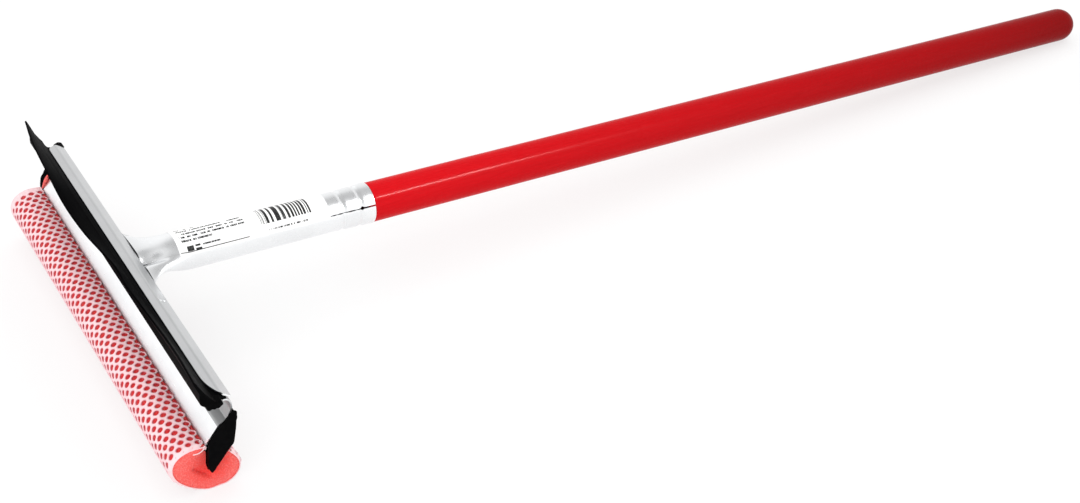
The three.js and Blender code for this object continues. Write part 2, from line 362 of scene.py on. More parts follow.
def lacquered_wood():
    s = Shader("lacquered_wood")
    tilt = (0, asin(TO_HEAD.z), 0)
    along = s.place(scale=(0.035, 1, 1), rotation=tilt)
    wide = s.place(scale=(0.004, 0.15, 0.15), rotation=tilt)
    fine = s.noise(along, 1.6, detail=6, rough=0.6)
    broad = s.noise(wide, 1.0, detail=3)
    dirt = s.noise(s.place(), 0.09, detail=5, rough=0.7)
    grain = s.ramp(fine, [(0.3, (0.50, 0.0035, 0.0065)), (0.7, (0.60, 0.0060, 0.0105))])
    tone = s.mix(s.ramp(broad, [(0.35, 0.0), (0.7, 0.55)]), grain, (0.55, 0.0045, 0.0080))
    # painted shade: the lacquer is darkened towards the butt, where the light falls off, and inside the
    # socket, where the tube shades it
    inwards = s.math("SUBTRACT", BUTT.x / MM, s.axis(s.place(), "X"))
    from_butt = s.math("DIVIDE", inwards, LACQUER_LENGTH)
    butt_shade = s.ramp(from_butt, [(0.0, 0.80), (0.15, 0.62), (0.53, 0.30), (0.95, 0.0)])
    shaded_tone = s.mix(butt_shade, tone, (0.10, 0.0020, 0.002))
    # painted shade on the wood inside the socket, which the tube shades
    socket_shade = s.ramp(from_butt, [(INTO_SOCKET[0], 0.0), (INTO_SOCKET[1], 1.0)])
    shaded_tone = s.mix(socket_shade, shaded_tone, (0.004, 0.003, 0.003))
    worn = s.ramp(dirt, [(0.35, 0.20), (0.75, 0.34)])
    ripple = s.bump(fine, 0.05, 0.5)
    peel = s.bump(s.noise(s.place(), 0.55, detail=2), 0.05, 0.5, after=ripple)
    return s.set(
        Base_Color=shaded_tone, Roughness=worn, Normal=peel,
        Coat_Weight=0.06, Coat_Roughness=0.12, Specular_IOR_Level=0.02,
    )


def zinc_sheet(name, bright, rough):
    """Galvanised sheet, rolled along the head, with a faint spangle."""
    s = Shader(name)
    place = s.place()
    rolled = s.noise(s.place(scale=(1, 0.03, 1)), 2.2, detail=5, rough=0.6)
    cloudy = s.noise(place, 0.05, detail=4)
    spangle = s.voronoi(place, 0.35)
    light, dark = (tuple(v * bright for v in c) for c in ((0.90, 0.91, 0.92), (0.80, 0.81, 0.82)))
    tone = s.mix(s.ramp(cloudy, [(0.35, 0.0), (0.7, 0.6)]), light, dark)
    shine = s.math("ADD", s.times(rolled, 0.16), rough)
    shine = s.math("ADD", s.times(spangle, 0.03), shine)
    marks = s.bump(rolled, 0.006, 0.5)
    dents = s.bump(s.noise(place, 0.03, detail=2), 0.25, 0.35, after=marks)
    return s.set(Base_Color=tone, Roughness=shine, Normal=dents, Metallic=1.0)


def black_rubber():
    s = Shader("black_rubber")
    place = s.place()
    dust = s.noise(s.place(scale=(1, 0.25, 1)), 0.35, detail=7, rough=0.7)
    skin = s.noise(place, 3.5, detail=2)
    tone = s.ramp(dust, [(0.45, (0.0008, 0.0008, 0.0010)), (0.8, (0.0040, 0.0040, 0.0042))])
    shine = s.ramp(dust, [(0.3, 0.50), (0.75, 0.66)])
    grain = s.bump(skin, 0.02, 0.5)
    # rubbed shinier towards both ends of the head
    outwards = s.math("DIVIDE", s.math("ABSOLUTE", s.axis(place, "Y")), RUBBER_HALF_LENGTH)
    rubbed = s.ramp(outwards, [(0.45, 0.0), (0.85, 1.0)])
    index = s.math("MULTIPLY_ADD", rubbed, 0.05, 1.03)
    return s.set(Base_Color=tone, Roughness=shine, Normal=grain, IOR=index, Specular_IOR_Level=0.5)


def foam():
    s = Shader("red_foam")
    place = s.place()
    cells = s.voronoi(place, 1.15)
    fine = s.voronoi(place, 2.6)
    patchy = s.noise(place, 0.16, detail=3)
    large = s.ramp(cells, [(0.12, 0.0), (0.55, 1.0)])
    pore_and_shade = s.times(large, s.ramp(fine, [(0.1, 0.35), (0.5, 1.0)]))
    # painted shade: the colour is darker in the pores' hollows, which the same mask sinks
    tone = s.mix(pore_and_shade, (0.86, 0.115, 0.088), (0.70, 0.040, 0.030))
    # the cut ends are paler than the foam's skin, and carry a painted shade in the fold by the core: a
    # deeper, darker red
    outwards = s.math("DIVIDE", s.math("ABSOLUTE", s.axis(place, "Y")), FOAM_SPAN)
    ends = s.ramp(outwards, [(0.4975, 0.0), (0.506, 1.0)])
    skin = s.mix(s.ramp(patchy, [(0.35, 0.45), (0.75, 0.85)]), tone, (0.52, 0.015, 0.030))
    tone = s.mix(ends, skin, s.mix(pore_and_shade, (0.91, 0.210, 0.190), (0.83, 0.105, 0.092)))
    # painted shade in the fold by the core
    fold = tuple(v / MM for v in head(*FOLD_SHADE_MIDDLE))
    middle = s.node("VectorMath", {0: place, 1: fold}, operation="DISTANCE")
    away = s.math("DIVIDE", middle.outputs["Value"], FOLD_SHADE_REACH)
    tone = s.mix(s.ramp(away, [(0.18, 0.65), (0.62, 0.0)]), tone, (0.84, 0.024, 0.014))
    height = s.math("SUBTRACT", 1.0, pore_and_shade)
    return s.set(
        Base_Color=tone, Roughness=0.92, Normal=s.bump(height, 0.3, 0.7), Specular_IOR_Level=0.1,
        Subsurface_Weight=0.15, Subsurface_Radius=(0.003, 0.0008, 0.0006), Sheen_Weight=0.1,
    )


def net_thread():
    s = Shader("net_thread")
    web = s.node("Attribute", attribute_name="web", attribute_type="GEOMETRY")
    place = s.place()
    twist = s.noise(s.place(scale=(1.0, 0.35, 1.0)), 3.0, detail=4, rough=0.7)
    grime = s.noise(place, 0.11, detail=3)
    uneven = s.times(s.math("SUBTRACT", twist, 0.5), 0.5)
    thick = s.math("ADD", web.outputs["Fac"], uneven)
    rim, slope, crest = (0.46, 0.09, 0.11), (0.80, 0.40, 0.44), (0.90, 0.66, 0.68)
    tone = s.ramp(thick, [(0.0, rim), (0.35, slope), (1.0, crest)])
    tone = s.mix(s.ramp(grime, [(0.4, 0.0), (0.8, 0.3)]), tone, (0.74, 0.42, 0.45))
    return s.set(
        Base_Color=tone, Roughness=0.62, Normal=s.bump(twist, 0.12, 0.6),
        Specular_IOR_Level=0.2, Subsurface_Weight=0.1, Subsurface_Radius=(0.0008, 0.0004, 0.0004),
    )


def label_paper():
    """White coated paper with rows of dashes, blocks of bars and a hairline: marks with no words."""
    s = Shader("label_paper")
    uv = s.node("UVMap", uv_map="paper").outputs["UV"]
    u = s.times(s.axis(uv, "X"), PAPER_UNIT)  # millimetres from the head's end
    v = s.times(s.axis(uv, "Y"), PAPER_UNIT)  # millimetres from the seam's edge

    def inside(value, low, high):
        return s.times(s.math("GREATER_THAN", value, low), s.math("LESS_THAN", value, high))

    def along(scale, seed, step=None):
        """Noise along the print, new in each row if there is a step between rows."""
        row = s.math("FLOOR", s.math("DIVIDE", v, step)) if step else 0.0
        shifted = s.math("ADD", s.times(row, 9.7), seed)
        spot = s.node("CombineXYZ", {"X": u, "Y": shifted}).outputs[0]
        inputs = {"Vector": spot, "Scale": scale, "Detail": 1.0}
        return s.node("TexNoise", inputs, noise_dimensions="2D").outputs["Fac"]

    def box(u_low, u_high, v_low, v_high):
        return s.times(inside(u, u_low, u_high), inside(v, v_low, v_high))

    def most(made, *others):
        for other in others:
            made = s.math("MAXIMUM", made, other)
        return made

    line = 2.0  # between two rows of print
    in_line = s.math("FRACT", s.math("DIVIDE", s.math("ADD", v, 0.35), line))
    words = s.math("GREATER_THAN", along(0.5, 3.1, line), 0.42)
    strokes = s.math("GREATER_THAN", along(3.2, 8.4, line), 0.39)
    dashes = s.times(s.times(inside(in_line, 0.26, 0.78), words), strokes)
    block = most(box(2.0, 32.5, 7.6, 13.4), box(2.4, 17.7, 5.6, 7.6), box(1.5, 10.5, 13.4, 15.6))
    thick = s.math("GREATER_THAN", along(1.4, 27.0), 0.475)
    thin = s.math("GREATER_THAN", along(1.6, 33.0), 0.50)
    ink = most(
        s.times(dashes, block),
        s.times(thick, box(39.8, 64.2, 5.2, 18.0)),
        s.times(thin, box(42.5, 61.5, 1.8, 2.6)),
        box(3.7, 6.8, 1.7, 4.1), box(7.6, 10.4, 1.6, 2.5), box(7.6, 10.0, 3.2, 4.1),
        s.times(strokes, box(11.2, 19.3, 3.1, 3.9)),
        box(0.5, 32.8, 1.2, 1.6),
    )
    fibre = s.noise(s.place(), 1.1, detail=5)
    soft = s.times(ink, s.ramp(s.noise(s.place(), 2.4), [(0.25, 0.93), (0.6, 1.0)]))
    paper = s.ramp(fibre, [(0.3, (0.86, 0.86, 0.855)), (0.7, (0.90, 0.90, 0.895))])
    tone = s.mix(soft, paper, (0.0015, 0.0015, 0.002))
    return s.set(
        Base_Color=tone, Roughness=0.42, Normal=s.bump(fibre, 0.02, 0.4), Specular_IOR_Level=0.15,
        Coat_Weight=0.05, Coat_Roughness=0.3,
    )


WOOD = lacquered_wood()
ZINC = zinc_sheet("zinc_sheet", 1.0, 0.20)
# painted shade: a darker copy of the sheet for the spine
ZINC_SPINE_SHADED = zinc_sheet("zinc_spine_shaded", 0.70, 0.26)
# painted shade: a darker, rougher copy of the sheet for the step and the inside of the fold
ZINC_FOLD_SHADE = zinc_sheet("zinc_fold_shade", 0.48, 0.34)
ZINC_EDGE = zinc_sheet("zinc_cut_edge", 1.06, 0.34)
RUBBER = black_rubber()
FOAM = foam()
NET = net_thread()
PAPER = label_paper()


# ---- wooden handle ----

HANDLE_R = 9.5
DOME_LENGTH = 9
BUTT_FLAT_R = 3
AXIS_R = 0.02  # the rings in the middle of its two ends, which caps close
STUB_R, STUB_LENGTH = 8.4, 3  # how much of the tenon is made
MOUTH_ROOM = 0.3  # between the lacquer's end and the socket's mouth


def wooden_handle():
    sides = 96
    profile = [(DOME_LENGTH * (1 - cos(radians(a))),
                BUTT_FLAT_R + (HANDLE_R - BUTT_FLAT_R) * sin(radians(a)))
               for a in range(0, 91, 6)]
    profile = [(0, AXIS_R), (0, BUTT_FLAT_R / 2)] + profile
    profile += [(d, HANDLE_R) for d in stations(DOME_LENGTH + 4, WOOD_LENGTH - MOUTH_ROOM - 1, 5)]
    end, stub = WOOD_LENGTH - MOUTH_ROOM, WOOD_LENGTH + STUB_LENGTH
    profile += arc((end - 0.5, HANDLE_R - 0.5), 0.5, 90, 0, 4)
    profile += [(end, STUB_R + 0.2), (stub, STUB_R), (stub, AXIS_R)]
    rings = []
    for from_butt, radius in profile:
        ring = []
        for i in range(sides):
            angle = 2 * pi * i / sides
            swell = 1 + 0.006 * wobble(from_butt, 4 * cos(angle), 4 * sin(angle), 60, 1)
            swell += 0.0025 * wobble(from_butt, 9 * cos(angle), 9 * sin(angle), 12, 2)
            r = radius * swell
            ring.append(on_handle(from_butt - WOOD_LENGTH, r * cos(angle), r * sin(angle)))
        rings.append(ring)
    add_piece("wooden_handle", loft(rings), [WOOD], "lacquered_wood", ["handle"])


# ---- rolled sheet socket ----

SOCKET_LENGTH = 110.8  # up to the spine of the head
FISHTAIL_LENGTH = 21.8
FISHTAIL_START = SOCKET_LENGTH - FISHTAIL_LENGTH
FISHTAIL_HALF_WIDTH = 20.5
FISHTAIL_HALF_HEIGHT = 3.2
MOUTH_R = 9.8
NECK_R = 9.1
TAPER_END = 20
CRIMPS = (6.6, 15.5)  # from the mouth
CRIMP_DEPTH = 0.6
CRIMP_HALF_WIDTH = 1.7
SEAM = radians(155)  # from +Y
SEAM_HEAD = radians(103)
SEAM_HALF_GAP, SEAM_ROUGHNESS = 0.21, 0.3
SEAM_CLOSED = 0.12  # the share of the fishtail over which the seam closes
NOTCH_HALF_GAP = 1.3
CORNER_HALF_GAP = 0.4  # at the mouth, before the first crimp
SLIT_HALF_LENGTH, SLIT_HALF_WIDTH = 0.75, 0.9  # the slit across the seam at the first crimp
VALLEY_DEPTH = 2.9
VALLEY_HALF_WIDTH = 3.4
FISHTAIL_SHIFT = 2.7  # towards the far end of the head
FISHTAIL_PRESS = 1.5  # how far its upper side is pressed down at its end


def tube_r(distance):
    depth = 0.0
    for middle in CRIMPS:
        off = abs(distance - middle) / CRIMP_HALF_WIDTH
        if off < 1:
            depth = max(depth, CRIMP_DEPTH * cos(off * pi / 2) ** 2)
    return MOUTH_R + (NECK_R - MOUTH_R) * min(1, distance / TAPER_END) - depth


def seam_gap(distance, flare):
    """Half the width of the open seam: wider at the mouth's cut corner and at the notch by the head."""
    rough = SEAM_HALF_GAP + SEAM_ROUGHNESS * wobble(distance, 0, 0, 2.0, 3)
    half = max(0.02, rough) * (1 - smooth(flare / SEAM_CLOSED)) + 0.02 + NOTCH_HALF_GAP * flare ** 16
    if distance < CRIMPS[0]:
        half = CORNER_HALF_GAP
    return half + SLIT_HALF_LENGTH * max(0, 1 - abs(distance - CRIMPS[0]) / SLIT_HALF_WIDTH)


def fishtail(distance):
    """How far along the fishtail a place is, from 0 to 1, that share eased, and its two half sizes."""
    flare = max(0.0, (distance - FISHTAIL_START) / FISHTAIL_LENGTH)
    ease = flare * flare * (3 - 2 * flare)
    r = tube_r(distance)
    half_width = r + (FISHTAIL_HALF_WIDTH - r) * (0.35 * flare + 0.65 * flare ** 4)
    return flare, ease, half_width, r + (FISHTAIL_HALF_HEIGHT - r) * ease


def seam_angle(distance):
    return SEAM + (SEAM_HEAD - SEAM) * fishtail(distance)[1]


def gap_angle(distance):
    """Half the open seam, as an angle."""
    flare, _, half_width, half_height = fishtail(distance)
    seam = seam_angle(distance)
    reach = hypot(half_width * sin(seam), half_height * cos(seam))
    return seam_gap(distance, flare) / reach


def socket_point(distance, angle, inset=0.0):
    """(across, up) on the socket's wall, inset from its outside."""
    flare, ease, half_width, half_height = fishtail(distance)
    across = (half_width - inset) * cos(angle)
    up = (half_height - inset) * sin(angle)
    dip = ((across - half_width * cos(seam_angle(distance))) / VALLEY_HALF_WIDTH) ** 2
    dent = VALLEY_DEPTH * ease * (1 + 0.6 * sin(pi * min(1.0, flare)))
    above = max(0.0, sin(angle))
    up -= dent * above * exp(-dip)
    up -= FISHTAIL_PRESS * smooth((flare - 0.45) / 0.55) * above ** 0.5
    return across + FISHTAIL_SHIFT * ease, up


def rolled(rings):
    """Points and faces of an open roll: each ring runs along its outside and back along its inside."""
    points, faces = loft(rings, caps=False)
    size = len(rings[0])
    last = (len(rings) - 1) * size
    for a in range(size // 2 - 1):
        quad = (a, a + 1, size - 2 - a, size - 1 - a)
        faces += [quad[::-1], tuple(last + i for i in quad)]
    return points, faces


def socket():
    sides = 132
    rings = []
    for distance in stretches(0, 0.4, 22, 3, FISHTAIL_START, 0.6, SOCKET_LENGTH):
        seam, gap = seam_angle(distance), gap_angle(distance)
        angles = [seam + gap + (2 * pi - 2 * gap) * i / sides for i in range(sides + 1)]
        wall = [socket_point(distance, a) for a in angles]
        wall += [socket_point(distance, a, SHEET) for a in reversed(angles)]
        rings.append([on_handle(distance, across, up) for across, up in wall])
    add_piece("rolled_socket", rolled(rings), [ZINC], "zinc_sheet", ["socket"], edge=0.14, sharp=50)


# ---- paper label ----

LABEL_START, LABEL_END = 22.8, 95.5  # from the mouth
LABEL_WRAP = radians(255)
LABEL_R = 9.35
LABEL_PROUD, LABEL_GLUE = 0.12, 0.03  # its outside and its inside, over the metal
LABEL_LAP = radians(6)  # how far it covers the metal past the seam


def paper_label():
    """A sheet glued round the tube and over its seam. Its end by the head lies on the fishtail."""
    places = stations(LABEL_START, LABEL_END, 1.5)
    sides = 84
    rings, spread = [], []
    for distance in places:
        start = seam_angle(distance) + LABEL_LAP
        outer, inner, row = [], [], []
        for i in range(sides + 1):
            angle = start - LABEL_WRAP * i / sides
            lift = LABEL_PROUD * (1 - 0.25 * wobble(distance, i * 0.4, 0, 9, 4))
            outer.append(on_handle(distance, *socket_point(distance, angle, -lift)))
            inner.append(on_handle(distance, *socket_point(distance, angle, -LABEL_GLUE)))
            row.append((LABEL_END - distance, LABEL_WRAP * LABEL_R * i / sides))
        rings.append(outer + inner[::-1])
        spread += row + row[::-1]
    piece = add_piece("paper_label", rolled(rings), [PAPER], "label_paper", ["label"], sharp=60)
    layer = piece.data.uv_layers.new(name="paper")
    for loop in piece.data.loops:
        layer.data[loop.index].uv = [v / PAPER_UNIT for v in spread[loop.vertex_index]]


# ---- folded sheet head ----

JAW_LINE = [(6, 49.7), (9.4, 48.5), (10.2, 48.6), (13.9, 45.7)]
PLATE_BENDS = [(0.6, 23.3), (4.75, 28.9), (7.6, 32.5), (11.4, 34.2)]
JAW_FAR_END = HEAD_END - 1.6
NEAR_CUT, FAR_CUT = (14, 4.8, 2.6), (5, 3.5, 2)  # how long and how deep the lip is cut back, and a power
FOLD_CENTRE, FOLD_HALF_WIDTH, FOLD_HALF_HEIGHT = (10.9, 40.6), 3.0, 4.3


def jaw_cut(y):
    """How far the lip of the top jaw is cut back at this place along the head."""
    cut = JAW_LINE[0][0]
    for past, (length, depth, power) in ((HEAD_END + y, NEAR_CUT), (JAW_FAR_END - y, FAR_CUT)):
        cut += depth * max(0.0, 1 - past / length) ** power
    return cut


def mark_edges(piece):
    """Gives the sheet's cut ends the brighter metal."""
    for polygon in piece.data.polygons:
        if abs(polygon.normal.y) > 0.9:  # they face along the head
            polygon.material_index = 1


def top_jaw():
    """The spine of the head: the bent strip that holds the blade down. Its two punched dots are made by
    punch_marks().
    """
    line = rounded(JAW_LINE, 0.35, 4)
    steps = 44
    rings = []
    for y in stretches(-HEAD_END, 0.5, -HEAD_END + 16, 2, JAW_FAR_END - 6, 0.5, JAW_FAR_END):
        middle = resample(cut_before(line, jaw_cut(y)), steps)
        outline = strip(middle, SHEET)
        bow = 0.05 * wobble(0, y, 0, 40, 5)
        rings.append([head(x, y, z + bow) for x, z in outline])
    # the spine takes the darker copy of the sheet, a painted shade
    mark_edges(add_piece("top_jaw_sheet", loft(rings), [ZINC_SPINE_SHADED, ZINC_EDGE], "zinc_sheet", ["top_jaw"],
                         edge=0.12, sharp=50))


def sponge_plate():
    """The sheet that goes down from the U-shaped fold to the sponge."""
    fold = [(FOLD_CENTRE[0] + x * FOLD_HALF_WIDTH, FOLD_CENTRE[1] + z * FOLD_HALF_HEIGHT)
            for x, z in arc((0, 0), 1, -46, 98, 26)]
    line = resample(rounded(PLATE_BENDS + fold[:1], 0.35, 3) + fold[1:], 150)
    rings = []
    for y in stations(-HEAD_END, HEAD_END, 3):
        bow = 0.06 * wobble(0, y, 0, 35, 6)
        outline = strip(line, SHEET)
        rings.append([head(x - bow * smooth((40 - z) / 12), y, z) for x, z in outline])
    piece = add_piece("sponge_plate_sheet", loft(rings), [ZINC, ZINC_EDGE, ZINC_FOLD_SHADE], "zinc_sheet",
                      ["sponge_plate"], edge=0.12, sharp=50)
    mark_edges(piece)
    # painted shade: the step and the fold above it take the darker copy of the sheet
    step_z = (PLATE_BENDS[2][1] - SHEET / 4) * MM
    for polygon in piece.data.polygons:
        if polygon.center.z > step_z and polygon.material_index == 0:
            polygon.material_index = 2


# ---- rubber blade ----

BLADE_LEAN = 118  # degrees from +X where the rubber leaves the jaw
BLADE_ENDS = (-106, 104)
# how the lip leans along the head, in degrees: it has taken a wave
BLADE_WAVE = [(-106, 114), (-90, 111.4), (-75, 112), (-50, 116.5), (-34, 119), (-22, 117), (-7, 122.5),
              (11, 130), (35, 132.8), (65, 125.5), (88, 118.5), (104, 108.5)]
WAVE_CURL = 1.32  # how far past its mean lean the lip's edge goes
WAVE_FULL = 7.0  # along the lip, where it has taken its whole lean
# the section: (along the lip, out towards the handle), then points of the clamped root
LIP_FRONT = [(14.4, 0.42), (10, 0.72), (5.6, 0.95), (4.6, 1.15), (1.5, 1.4), (-0.4, 1.6)]
ROOT = [(6.4, 49.0), (9.3, 47.85), (10.0, 47.85), (12.2, 46.1), (12.3, 45.4), (11.9, 45.35), (10.9, 45.5),
        (9.85, 45.4), (9.6, 44.6), (8.4, 44.5), (7.6, 44.9), (6.9, 45.9), (5.3, 45.5), (4.4, 46.5),
        (2.9, 45.9), (2.0, 46.9), (1.7, 48.6)]
# the same points where the root is free: past the end that shows the fold, and past the other end
ROOT_NEAR = [(6.4, 49.4), (8.7, 49.2), (8.9, 48.6), (9.1, 47.9), (9.2, 47.4), (9.0, 47.15), (8.6, 46.85),
             (8.2, 46.6), (7.8, 46.3), (7.4, 46.0), (7.1, 45.9), (6.6, 46.2), (5.3, 45.9), (4.4, 46.5),
             (3.1, 46.0), (2.2, 46.9), (1.8, 48.6)]
ROOT_FAR = [(4.4, 47.6), (6.8, 45.9), (9.6, 45.5), (10.6, 46.7), (12.4, 47.4), (14.1, 46.7), (14.6, 45.8),
            (13.8, 45.3), (12.2, 45.35), (10.4, 45.2), (9.2, 44.6), (7.6, 44.6), (6.4, 45.3), (4.4, 46.3),
            (2.9, 45.9), (2.0, 46.9), (1.7, 48.6)]
LIP_BACK = [(1.6, -3.1), (2.6, -3.3), (4.5, -2.4), (6.3, -1.5), (7.4, -0.85), (10, -0.7), (14.4, -0.42)]


def lip_point(along, out, lean):
    """A point of the lip's section. The lip curls from BLADE_LEAN to the lean that the wave gives."""
    extra = (lean - BLADE_LEAN) * WAVE_CURL

    def angle_at(part):
        return radians(BLADE_LEAN + extra * smooth(part / WAVE_FULL))

    x, z = PIVOT
    steps = 12 if along > 0 else 1
    for k in range(steps):
        angle = angle_at(along * (k + 0.5) / steps)
        x += along / steps * cos(angle)
        z += along / steps * sin(angle)
    angle = angle_at(along)
    return x + out * sin(angle), z - out * cos(angle)


def root_outline(y):
    near = smooth((-HEAD_END - y + 0.2) / 0.7)
    far = smooth((y - JAW_FAR_END + 0.2) / 0.7)
    return [tuple(a[k] + (b[k] - a[k]) * near + (c[k] - a[k]) * far for k in (0, 1))
            for a, b, c in zip(ROOT, ROOT_NEAR, ROOT_FAR)]


def rubber_blade():
    """One strip of rubber: a ribbed root in the jaw and a thin wavy lip."""
    rings = []
    near, far = -HEAD_END, JAW_FAR_END
    for y in stretches(BLADE_ENDS[0], 0.9, near - 1, 0.2, near + 0.6, 0.9, near + 1.5, 1.5,
                       far - 1.5, 0.9, far - 0.6, 0.2, far + 1, 0.5, BLADE_ENDS[1]):
        lean = curve_at(BLADE_WAVE, y)
        outline = [lip_point(a, o, lean) for a, o in LIP_FRONT] + root_outline(y)
        outline += [lip_point(a, o, lean) for a, o in LIP_BACK]
        soft = rounded(outline, 0.35, 3, closed=True)
        rings.append([head(x, y, z) for x, z in soft])
    piece = new_mesh("rubber_blade", *loft(rings), [RUBBER], sharp=60)
    bevel(piece, 0.2)
    lean = radians(BLADE_LEAN)
    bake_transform(piece)
    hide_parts("blade_root", "blade_lip")


# ---- core bar ----

CORE = [(2.6, 10.6), (13.2, 22.6), (15.0, 36.2), (14.9, 37.8), (14.0, 37.2), (11.2, 34.6), (10.1, 32.9),
        (8.2, 31.8), (2.6, 24.4), (1.4, 21), (0.8, 15), (1.3, 11.4), (2.6, 10.6)]
# past the plate's ends, where nothing presses on it
CORE_END = [(1.7, 11.8), (4.1, 14.7), (6.7, 18.0), (10.3, 22.4), (12.0, 24.2), (12.8, 27.8), (14.1, 35.1),
            (14.8, 39.6), (14.5, 41.1), (13.1, 42.2), (11.1, 41.1), (8.6, 38.5), (6.0, 35.9), (4.4, 34.4),
            (3.2, 32.3), (1.9, 30.7), (1.2, 28.3), (0.9, 25.5), (0.7, 20.5), (0.4, 16.8), (0.8, 13.2),
            (1.7, 11.8)]
CORE_SWELL, CORE_POWER = 4.2, 0.85  # how far from the plate's end it swells, and how fast
CORE_START = 0.15
CORE_FAR = 0.82  # its far end swells less


def core_bar():
    low, high = (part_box("sponge_core")[k].y / MM for k in (0, 1))
    steps = 120
    held = resample(rounded(CORE, 0.6, 3), steps + 1)[:-1]
    free = resample(rounded(CORE_END, 0.7, 3), steps + 1)[:-1]
    rings = []
    near, far = -HEAD_END, HEAD_END
    for y in stretches(low, 0.7, near - 1.2, 0.3, near - 0.9, 0.2, near - 0.1, 2.1, near + 2, 4,
                       far - 2, 2.1, far + 0.1, 0.2, far + 0.9, 0.3, far + 1.2, 0.7, high):
        past = max(0.0, abs(y) - HEAD_END - CORE_START)
        share = min(1.0, past / CORE_SWELL) ** CORE_POWER * (1.0 if y < 0 else CORE_FAR)
        ring = []
        for a, b in zip(held, free):
            rough = share * 0.28 * wobble(b[0], y * 0.4, b[1], 1.3, 8)
            rough += 0.04 * wobble(a[0], y, a[1], 6, 8)
            x, z = (a[k] + (b[k] - a[k]) * share for k in (0, 1))
            ring.append(head(x + rough, y, z - 0.5 * rough))
        rings.append(ring)
    add_piece("core_bar", loft(rings), [RUBBER], "black_rubber", ["sponge_core"], edge=0.35, segments=3,
              sharp=50)


# ---- sponge ----

ROLL_TILT = radians(-32)
ROLL_LONG, ROLL_SHORT = 16.5, 11.75  # half its width and height, over the netting
ROLL_FLAT = 0.4
ROLL_LOW = hypot(ROLL_LONG * sin(ROLL_TILT), ROLL_SHORT * cos(ROLL_TILT)) - ROLL_FLAT
FOAM_INSET = 0.7
FRONT_ANGLE, BACK_ANGLE = 110.5, 426  # where the foam's skin meets the plate, and the core behind it


def roll_point(degrees, inset):
    """A point of the sponge's oval outline, counted from its own long axis."""
    a = radians(degrees)
    x, z = (ROLL_LONG - inset) * cos(a), (ROLL_SHORT - inset) * sin(a)
    c, s = cos(ROLL_TILT), sin(ROLL_TILT)
    return x * c - z * s, max(x * s + z * c + ROLL_LOW, inset)


ROUND_OVER = 0.9  # the edge between the foam's skin and its cut ends
END_FLARE, FLARE_REACH = 0.9, 2.2
FLARE_FROM, FLARE_TO, FLARE_EASE = 250, 430, 60  # round the roll, in degrees
CREASE_DEPTH, CREASE_INSIDE, CREASE_OUTSIDE = 1.8, 2.4, 0.45  # how deep, and how wide on its two sides
NEAR_PILLOW, FAR_HOLLOW = 0.6, 0.9
SPONGE_ENDS = [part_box("sponge")[k].y / MM for k in (0, 1)]
# where the foam touches the plate and the core, from the front round under to the back
FOAM_INSIDE = [(0.6, 24.0), (0.0, 23.3), (0.5, 22.4), (1.0, 21.0), (0.4, 15.0), (0.9, 11.1), (2.6, 10.1),
               (3.3, 10.7), (10.6, 19.1)]
# the fold in the foam's cut end
CREASE = [(-6.2, 15.8), (-4.2, 12.7), (-2.5, 10.9), (0.2, 8.1), (3.4, 5.4)]


def end_pull(y):
    """How far the skin turns in at this place, on the rounded edge of a cut end."""
    past = max(0.0, ROUND_OVER - (y - SPONGE_ENDS[0]), ROUND_OVER - (SPONGE_ENDS[1] - y))
    return ROUND_OVER - sqrt(max(0.0, ROUND_OVER ** 2 - past ** 2))


def end_flare(y, degrees):
    """How far the foam bulges out below and behind, where it comes out of its net."""
    past = min(y - SPONGE_ENDS[0], SPONGE_ENDS[1] - y)
    side = smooth((degrees - FLARE_FROM) / FLARE_EASE) * smooth((FLARE_TO - degrees) / FLARE_EASE)
    return END_FLARE * side * exp(-(past / FLARE_REACH) ** 2)


def crease_dent(x, z):
    """The depth of the fold: steep on its outer side, and easing off towards the core."""
    best, depth = 1e9, 0.0
    count = len(CREASE) - 1
    for k in range(count):
        a, b, p = Vector(CREASE[k]), Vector(CREASE[k + 1]), Vector((x, z))
        t = min(1.0, max(0.0, (p - a).dot(b - a) / (b - a).length_squared))
        off = p - a.lerp(b, t)
        if off.length < best:
            best = off.length
            inside = (b - a).x * off.y - (b - a).y * off.x > 0
            ends = smooth((k + t) / count / 0.25) * smooth((1 - (k + t) / count) / 0.25)
            depth = ends * (exp(-best / CREASE_INSIDE) if inside else exp(-(best / CREASE_OUTSIDE) ** 2))
    return CREASE_DEPTH * depth


def end_bulge(x, z, share, side):
    """How far the sponge's end stands out, in millimetres: a slight pillow, lumps and the fold.
    The far end, which the net is drawn over, is hollow instead."""
    pillow = (NEAR_PILLOW if side < 0 else -FAR_HOLLOW) * sin(pi * min(1.0, share)) ** 1.5
    lumps = 0.20 * wobble(x, 0, z, 3.5, 9) + 0.07 * wobble(x, 0, z, 1.1, 10)
    return pillow + lumps * min(1.0, 4 * (1 - share)) - crease_dent(x, z)


